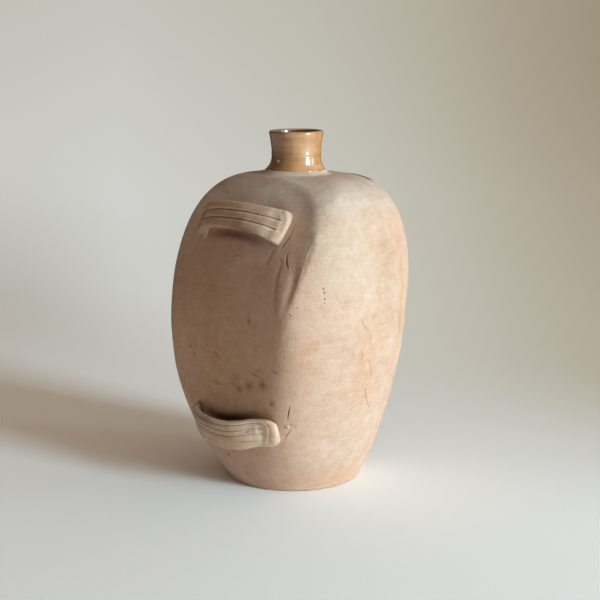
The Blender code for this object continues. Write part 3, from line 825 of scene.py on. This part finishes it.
strapMarks = {
    "upper_handle_left": [
        # painted shade in the crease by the pressed end, then a painted highlight on the end's facet
        ([(282, 211), (284.2, 218), (283, 225), (279.5, 234), (275.5, 241)], 1.0, -0.9, "#6B4E3A", 0.55),
        ([(288, 213.5), (288.6, 220), (285.6, 228), (280.5, 237.5), (276, 244.5)], 2.2, 0.5, "#E9D5C5", 0.75),
        # painted shade along the lower edge, over the left end and under the left foot
        ([(230, 228), (244, 230), (257, 233)], 2.6, 0, "#8A6850", 0.75),
        ([(207, 208), (202, 220), (199.5, 230)], 3.6, 0, "#8A6E5A", 0.7),
        ([(200, 234), (204, 238)], 1.8, 0, "#6B4E3A", 0.7),
        # painted light where the loop's face turns from the light
        ([(263, 212.5), (274, 215.5)], 2.4, 0, "#EBDACB", 0.5),
        ([(229, 221), (247, 223)], 4.0, 0, "#9A6E46", 0.55),
        ([(228, 213), (236, 213)], 2.2, 0, "#9A6E46", 0.4),
        ([(213, 203.5), (208, 212), (203.5, 225)], 0.7, 0.3, "#D8C5B4", 0.55),
    ],
    # painted shade on the far upper loop
    "upper_handle_right": [([(345, 176), (362, 179), (373, 183)], 6.0, 0, "#6E5B4D", 0.9)],
    "lower_handle_left": [
        # painted light on the pad that faces the windows
        ([(255, 437), (268, 436)], 9.0, 0, "#FCE6D2", 0.85),
        ([(196, 404), (204, 416), (218, 428)], 6.0, 0, "#B49A86", 0.5),
        ([(262.5, 422), (263, 434), (262, 446)], 2.4, -0.6, "#A98B74", 0.25),
        ([(255, 424), (256, 436), (256, 447)], 1.5, 0.45, "#F0DCC6", 0.5),
        ([(269, 423), (269.5, 433), (268, 443)], 1.1, -0.4, "#C2A48C", 0.35),
        ([(274.5, 424), (276, 433), (274.5, 443)], 1.8, 0.4, "#F3DFCE", 0.5),
        ([(267.3, 425.8)], 0.7, -0.6, "#4A3222", 0.95),
        ([(245, 432.5), (248.5, 431.5)], 0.6, -0.5, "#6B4A36", 0.8),
        ([(232, 441), (240, 442), (250, 441.5), (262, 441)], 0.5, -0.3, "#7B5A44", 0.55),
        # painted shade on the left foot's tip
        ([(197, 403), (200, 404), (202, 410), (207, 417)], 5.0, 0, "#6A5248", 0.9),
    ],
}


def makeRibbedStrap():
    tree, add, given = newTree("ribbedStrap", (
        "Width", "Thickness", "Groove Pitch", "Groove Shift", "Groove Low", "Groove High", "Groove Width",
        "Groove Depth"), counts=("Steps", "Sides"))
    path = add("GeometryNodeMeshToCurve", {"Mesh": given["Geometry"]})
    path = add("GeometryNodeCurveSplineType", {"Curve": path}, spline_type="CATMULL_ROM")
    path = add("GeometryNodeSetSplineResolution", {"Geometry": path, "Resolution": 16})
    path = add("GeometryNodeResampleCurve", {"Curve": path, "Count": given["Steps"]})
    path = add("GeometryNodeSetCurveNormal", {"Curve": path}, mode="Z_UP")
    factor = add("GeometryNodeSplineParameter")
    path = add("GeometryNodeStoreNamedAttribute", {"Geometry": path, "Name": "along", "Value": factor},
               data_type="FLOAT", domain="POINT")
    # the section: a soft-cornered bar with grooves combed along its outer face
    circle = add("GeometryNodeCurvePrimitiveCircle", {"Resolution": 128, "Radius": 1.0})
    at = add("ShaderNodeSeparateXYZ", (add("GeometryNodeInputPosition"),)).outputs
    sides = []
    for axis, size, power in ((0, "Thickness", 0.62), (1, "Width", 0.5)):
        half = add("ShaderNodeMath", (given[size], 0.5), operation="MULTIPLY")
        sign = add("ShaderNodeMath", (at[axis],), operation="SIGN")
        side = add("ShaderNodeMath", (at[axis],), operation="ABSOLUTE")
        for operation, other in (("POWER", power), ("MULTIPLY", sign), ("MULTIPLY", half)):
            side = add("ShaderNodeMath", (side, other), operation=operation)
        sides.append(side)
    section = add("ShaderNodeCombineXYZ", sides)
    circle = add("GeometryNodeSetPosition", {"Geometry": circle, "Position": section})
    circle = add("GeometryNodeResampleCurve", {"Curve": circle, "Count": given["Sides"]})
    on = add("ShaderNodeSeparateXYZ", (add("GeometryNodeInputPosition"),)).outputs
    halfPitch = add("ShaderNodeMath", (given["Groove Pitch"], 0.5), operation="MULTIPLY")
    outer = add("ShaderNodeMath", (on[0], 0.0), operation="GREATER_THAN")
    above = add("ShaderNodeMath", (on[1], given["Groove Low"]), operation="GREATER_THAN")
    below = add("ShaderNodeMath", (on[1], given["Groove High"]), operation="LESS_THAN")
    cut = on[1]
    for operation, other in (("SUBTRACT", given["Groove Shift"]), ("PINGPONG", halfPitch),
                             ("DIVIDE", given["Groove Width"]), ("MULTIPLY", -1.0), ("EXPONENT", 0.0),
                             ("MULTIPLY", outer), ("MULTIPLY", above), ("MULTIPLY", below)):
        cut = add("ShaderNodeMath", (cut, other), operation=operation)
    circle = add("GeometryNodeStoreNamedAttribute", {"Geometry": circle, "Name": "groove", "Value": cut},
                 data_type="FLOAT", domain="POINT")
    swell = add("GeometryNodeInputNamedAttribute", {"Name": "swell"}, data_type="FLOAT")
    strap = add("GeometryNodeCurveToMesh", {"Curve": path, "Profile Curve": circle, "Scale": swell,
                                            "Fill Caps": True})
    # the fingers that pressed the ends flat closed the grooves there
    along = add("GeometryNodeInputNamedAttribute", {"Name": "along"}, data_type="FLOAT")
    centred = add("ShaderNodeMath", (along, 0.5), operation="SUBTRACT")
    fromMiddle = add("ShaderNodeMath", (centred,), operation="ABSOLUTE")
    stillOpen = add("ShaderNodeMapRange", (fromMiddle, *grooveEnds, 1.0, 0.0),
                    interpolation_type="SMOOTHSTEP")
    inward = add("GeometryNodeInputNamedAttribute", {"Name": "groove"}, data_type="FLOAT")
    for other in (stillOpen, given["Groove Depth"], -1.0):
        inward = add("ShaderNodeMath", (inward, other), operation="MULTIPLY")
    push = add("ShaderNodeVectorMath", {0: add("GeometryNodeInputNormal"), "Scale": inward},
               operation="SCALE")
    strap = add("GeometryNodeSetPosition", {"Geometry": strap, "Offset": push})
    endTree(add, strap, given["Material"])
    return tree


ribbedStrap = makeRibbedStrap()


def thrownRadius(height):
    if height < pot["bellyHeight"]:
        return float(lowerRadius(height))
    climb = between(pot["bellyHeight"], pot["height"], height)
    out = (1 - climb ** pot["shoulderCurve"]) ** (1 / pot["shoulderCurve"])
    return pot["collarRadius"] + (pot["bellyRadius"] - pot["collarRadius"]) * out


def makeStrap(node, side, strap, seed):
    height = strap["height"]
    anchor = wallPoints(thrownRadius(height), height, np.array(math.pi if side < 0 else 0.0))
    anchor[1] += strap["shift"]
    path = bpy.data.meshes.new(node)
    path.from_pydata([(run * mm, rise * mm, climb * mm) for run, rise, climb, _ in strap["path"]],
                     [(i, i + 1) for i in range(len(strap["path"]) - 1)], [])
    swell = path.attributes.new("swell", "FLOAT", "POINT")
    swell.data.foreach_set("value", [place[3] for place in strap["path"]])
    piece = placePiece(node + "_strap", path, handledClay)
    runNodes(piece, ribbedStrap, {**grooves, **strap["grooves"], "Width": strap["width"],
                                  "Thickness": strap["thickness"], "Material": handledClay})
    mesh = piece.data
    local = readPoints(mesh)
    # the pressed end leans: its lower corner was drawn back
    local[:, 0] += (strap["lean"] * np.clip(strap["leanFrom"] - local[:, 2], 0, None)
                    * smooth(*strap["leanAlong"], local[:, 0]))
    alongWay = np.array((0, strap.get("mirror", 1), 0))
    outWay = np.array((side * math.cos(strap["tilt"]), 0, math.sin(strap["tilt"])))
    acrossWay = np.array((-side * math.sin(strap["tilt"]), 0, math.cos(strap["tilt"])))
    writePoints(mesh, anchor + local[:, :1] * alongWay + local[:, 1:2] * outWay + local[:, 2:] * acrossWay)
    work = bmesh.new()
    work.from_mesh(mesh)
    bmesh.ops.remove_doubles(work, verts=work.verts, dist=0.01 * mm)
    bmesh.ops.recalc_face_normals(work, faces=work.faces)
    work.to_mesh(mesh)
    work.free()
    mesh.shade_smooth()
    runNodes(piece, workedClay, {**strapWorked, "Seed": seed, "Material": handledClay})
    mesh = piece.data
    # grime and painted shade darken the grooves; painted highlights, with rubbed wear, make the edges and the
    # lips beside the grooves pale
    wornAndLit = {**wearAndPaintedLight, **strap.get("wearAndPaintedLight", {})}
    cut, along = np.empty((2, len(mesh.vertices)), np.float32)
    mesh.attributes["groove"].data.foreach_get("value", cut)
    mesh.attributes["along"].data.foreach_get("value", along)
    cut = (cut * smooth(*grooveEnds[::-1], np.abs(along - 0.5)))[:, None]
    facing = np.abs(readVectors(mesh.vertex_normals, "vector") @ acrossWay)[:, None]
    grimeAndShade = smooth(*wornAndLit["grimeAndShadeCut"], cut) * wornAndLit["grimeAndShadeStrength"]
    edge = np.exp(-((facing - wornAndLit["edgeFacing"]) / wornAndLit["edgeWidth"]) ** 2) * wornAndLit["rubbedAndHighlightStrength"]
    lip = smooth(*wornAndLit["lipCut"], cut) * smooth(*wornAndLit["lipEnd"], cut) * wornAndLit["lipStrength"]
    tint = blend(plainTint(mesh, strap["clay"]), wornAndLit["rubbedAndHighlight"], np.maximum(edge * (1 - grimeAndShade), lip))
    tint = blend(tint, wornAndLit["grimeAndShade"], grimeAndShade)
    if node in strapMarks:
        workMarks(mesh, Surface(mesh), strapMarks[node], tint)
    keepTint(mesh, tint)
    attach(piece, "root")
    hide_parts(node)
    print(node, "made,", len(mesh.vertices), "points")


makeStrap("upper_handle_left", -1, upperStrap, 1.0)
makeStrap("upper_handle_right", 1, farStrap, 2.0)
makeStrap("lower_handle_left", -1, lowerStrap, 3.0)
makeStrap("lower_handle_right", 1, lowerStrap, 4.0)


studio = {
    "floor": "#FAFCFE", "floorReach": 6.0, "floorDrop": 0.2 * mm,
    "floorRoughness": 0.95, "floorSpecular": 0.2,
    # the paper's tooth: threads about 2 mm apart, drawn coarser than real so that they show
    "threadTurns": (20, 110), "threadScale": 150.0, "threadWaver": 1.5, "threadDepth": 0.05 * mm,
    "threadStrength": 0.6,
    # the windows' light runs out behind the pot, soonest on the right, and everywhere far from it, in m
    "fadeBehind": (0.02, 0.6), "fadeSlant": 0.8, "fadeAround": (1.2, 2.6),
    # the backdrop's colours across the picture, and what dims them towards its top
    "backdrop": [(0.0, "#CDCDC7"), (0.2, "#D0D1CC"), (0.72, "#C2BFB3"), (1.0, "#B3AC9C")],
    "backdropAcross": (-0.22, 0.22), "backdropTop": "#F1EEE9", "backdropUp": (-0.12, 0.03),
    # painted shadows on the backdrop: round which pixel, how wide as a share of its distance, and its colour
    "dimCorners": [((640, 60), 0.26, "#EBE5DB"), ((-15, 350), 0.16, "#DEDAD5")],
    "fill": "#FFE3C4", "fillStrength": 0.87, "fillUp": (-0.6, 1.0), "fillAcross": (-1.0, 1.0),
}


def makeFloor():
    mesh = bpy.data.meshes.new("floor")
    reach = studio["floorReach"]
    corners = [(-reach, -reach), (reach, -reach), (reach, reach), (-reach, reach)]
    mesh.from_pydata([(x, y, -studio["floorDrop"]) for x, y in corners], [], [(0, 1, 2, 3)])
    # matt studio paper with a faint woven tooth, which fades into the backdrop far from the pot
    material, add = newMaterial("studio_paper_matt")
    place = add("ShaderNodeTexCoord").outputs["Object"]
    weave = 0.0
    for turn in studio["threadTurns"]:
        turned = add("ShaderNodeMapping", {"Vector": place, "Rotation": (0, 0, math.radians(turn))})
        threads = add("ShaderNodeTexWave", {"Vector": turned, "Scale": studio["threadScale"],
                                            "Distortion": studio["threadWaver"], "Detail": 1.0}).outputs[1]
        weave = add("ShaderNodeMath", (weave, threads), operation="ADD")
    tooth = add("ShaderNodeBump", {"Height": weave, "Distance": studio["threadDepth"],
                                   "Strength": studio["threadStrength"]})
    shader = add("ShaderNodeBsdfPrincipled", {
        "Base Color": linear(studio["floor"]), "Normal": tooth,
        "Roughness": studio["floorRoughness"], "Specular IOR Level": studio["floorSpecular"]})
    slant = onward + rightward * studio["fadeSlant"]
    behind = add("ShaderNodeVectorMath", (place, tuple(slant)), operation="DOT_PRODUCT")
    apart = add("ShaderNodeVectorMath", (place,), operation="LENGTH")
    fades = [add("ShaderNodeMapRange", (distance, *studio[span]), interpolation_type="SMOOTHSTEP")
             for distance, span in ((behind, "fadeBehind"), (apart, "fadeAround"))]
    fade = add("ShaderNodeMath", fades, operation="MAXIMUM")
    clear = add("ShaderNodeBsdfTransparent")
    both = add("ShaderNodeMixShader", (fade, shader, clear))
    add("ShaderNodeOutputMaterial", {"Surface": both})
    mesh.materials.append(material)
    floor = bpy.data.objects.new("floor", mesh)
    bpy.context.scene.collection.objects.link(floor)


def makeWorld():
    world = bpy.data.worlds.new("studio")
    bpy.context.scene.world = world
    world.use_nodes = True
    world.node_tree.nodes.clear()
    add = partial(addNode, world.node_tree)
    way = add("ShaderNodeTexCoord").outputs["Generated"]
    up = add("ShaderNodeSeparateXYZ", (way,)).outputs[2]
    across = add("ShaderNodeVectorMath", (way, tuple(rightward)), operation="DOT_PRODUCT")
    wide, high, aloft, aside = [
        add("ShaderNodeMapRange", (value, *studio[span])) for value, span in (
            (across, "backdropAcross"), (up, "backdropUp"), (up, "fillUp"), (across, "fillAcross"))]
    ramp = add("ShaderNodeValToRGB", {"Fac": wide})
    stops = ramp.color_ramp.elements
    for k, (place, colour) in enumerate(studio["backdrop"]):
        stop = stops[k] if k < 2 else stops.new(place)
        stop.position, stop.color = place, linear(colour)
    shade = add("ShaderNodeMix", {"Factor": high, 6: white, 7: linear(studio["backdropTop"])},
                data_type="RGBA")
    seen = add("ShaderNodeMix", {"Factor": 1.0, 6: ramp, 7: shade}, data_type="RGBA", blend_type="MULTIPLY")
    # painted shadows on the backdrop
    for pixel, reach, colour in studio["dimCorners"]:
        apart = add("ShaderNodeVectorMath", (way, tuple(sightLine(pixel))), operation="DISTANCE")
        share = add("ShaderNodeMapRange", (apart, 0.0, reach), interpolation_type="SMOOTHSTEP")
        shade = add("ShaderNodeMix", {"Factor": share, 6: linear(colour), 7: white}, data_type="RGBA")
        seen = add("ShaderNodeMix", {"Factor": 1.0, 6: seen, 7: shade}, data_type="RGBA",
                   blend_type="MULTIPLY")
    # the room's own light: warm, and strongest from above on the windows' side
    strength = add("ShaderNodeMath", (aloft, aside), operation="MULTIPLY")
    strength = add("ShaderNodeMath", (strength, studio["fillStrength"]), operation="MULTIPLY")
    rays = add("ShaderNodeLightPath").outputs
    look = add("ShaderNodeMath", (rays["Is Camera Ray"], rays["Is Transmission Ray"]), operation="MAXIMUM")
    seenLight = add("ShaderNodeBackground", {"Color": seen, "Strength": 1.0})
    fillLight = add("ShaderNodeBackground", {"Color": linear(studio["fill"]), "Strength": strength})
    both = add("ShaderNodeMixShader", (look, fillLight, seenLight))
    add("ShaderNodeOutputWorld", {"Surface": both})


# two window panes and a door gap: degrees to the right of the line to the camera, degrees above level,
# width and height in m, power in W
lampDistance, lampTarget = 2.6, Vector((0, 0, 0.13))
lamps = {
    "near_pane": (53, 12.5, (0.6, 1.36), 96.0, "#DBF4FF"),
    "far_pane": (79, 14, (0.26, 1.1), 9.0, "#DBF4FF"),
    "door_gap": (-92, 11, (0.2, 0.2), 3.0, "#FFFFFF"),
}


def makeLamps():
    for name, (side, above, size, power, colour) in lamps.items():
        data = bpy.data.lights.new(name, "AREA")
        data.shape = "RECTANGLE"
        data.size, data.size_y = size
        data.energy = power
        data.color = linear(colour)[:3]
        side, above = math.radians(side), math.radians(above)
        way = (rightward * math.sin(side) - onward * math.cos(side)) * math.cos(above)
        way = way + Vector((0, 0, math.sin(above)))
        item = bpy.data.objects.new(name, data)
        item.location = lampTarget + way * lampDistance
        item.rotation_euler = (-way).to_track_quat("-Z", "Y").to_euler()
        bpy.context.scene.collection.objects.link(item)


makeFloor()
makeWorld()
makeLamps()
bpy.context.scene.view_settings.view_transform = "Standard"
print("floor, backdrop and lamps set")
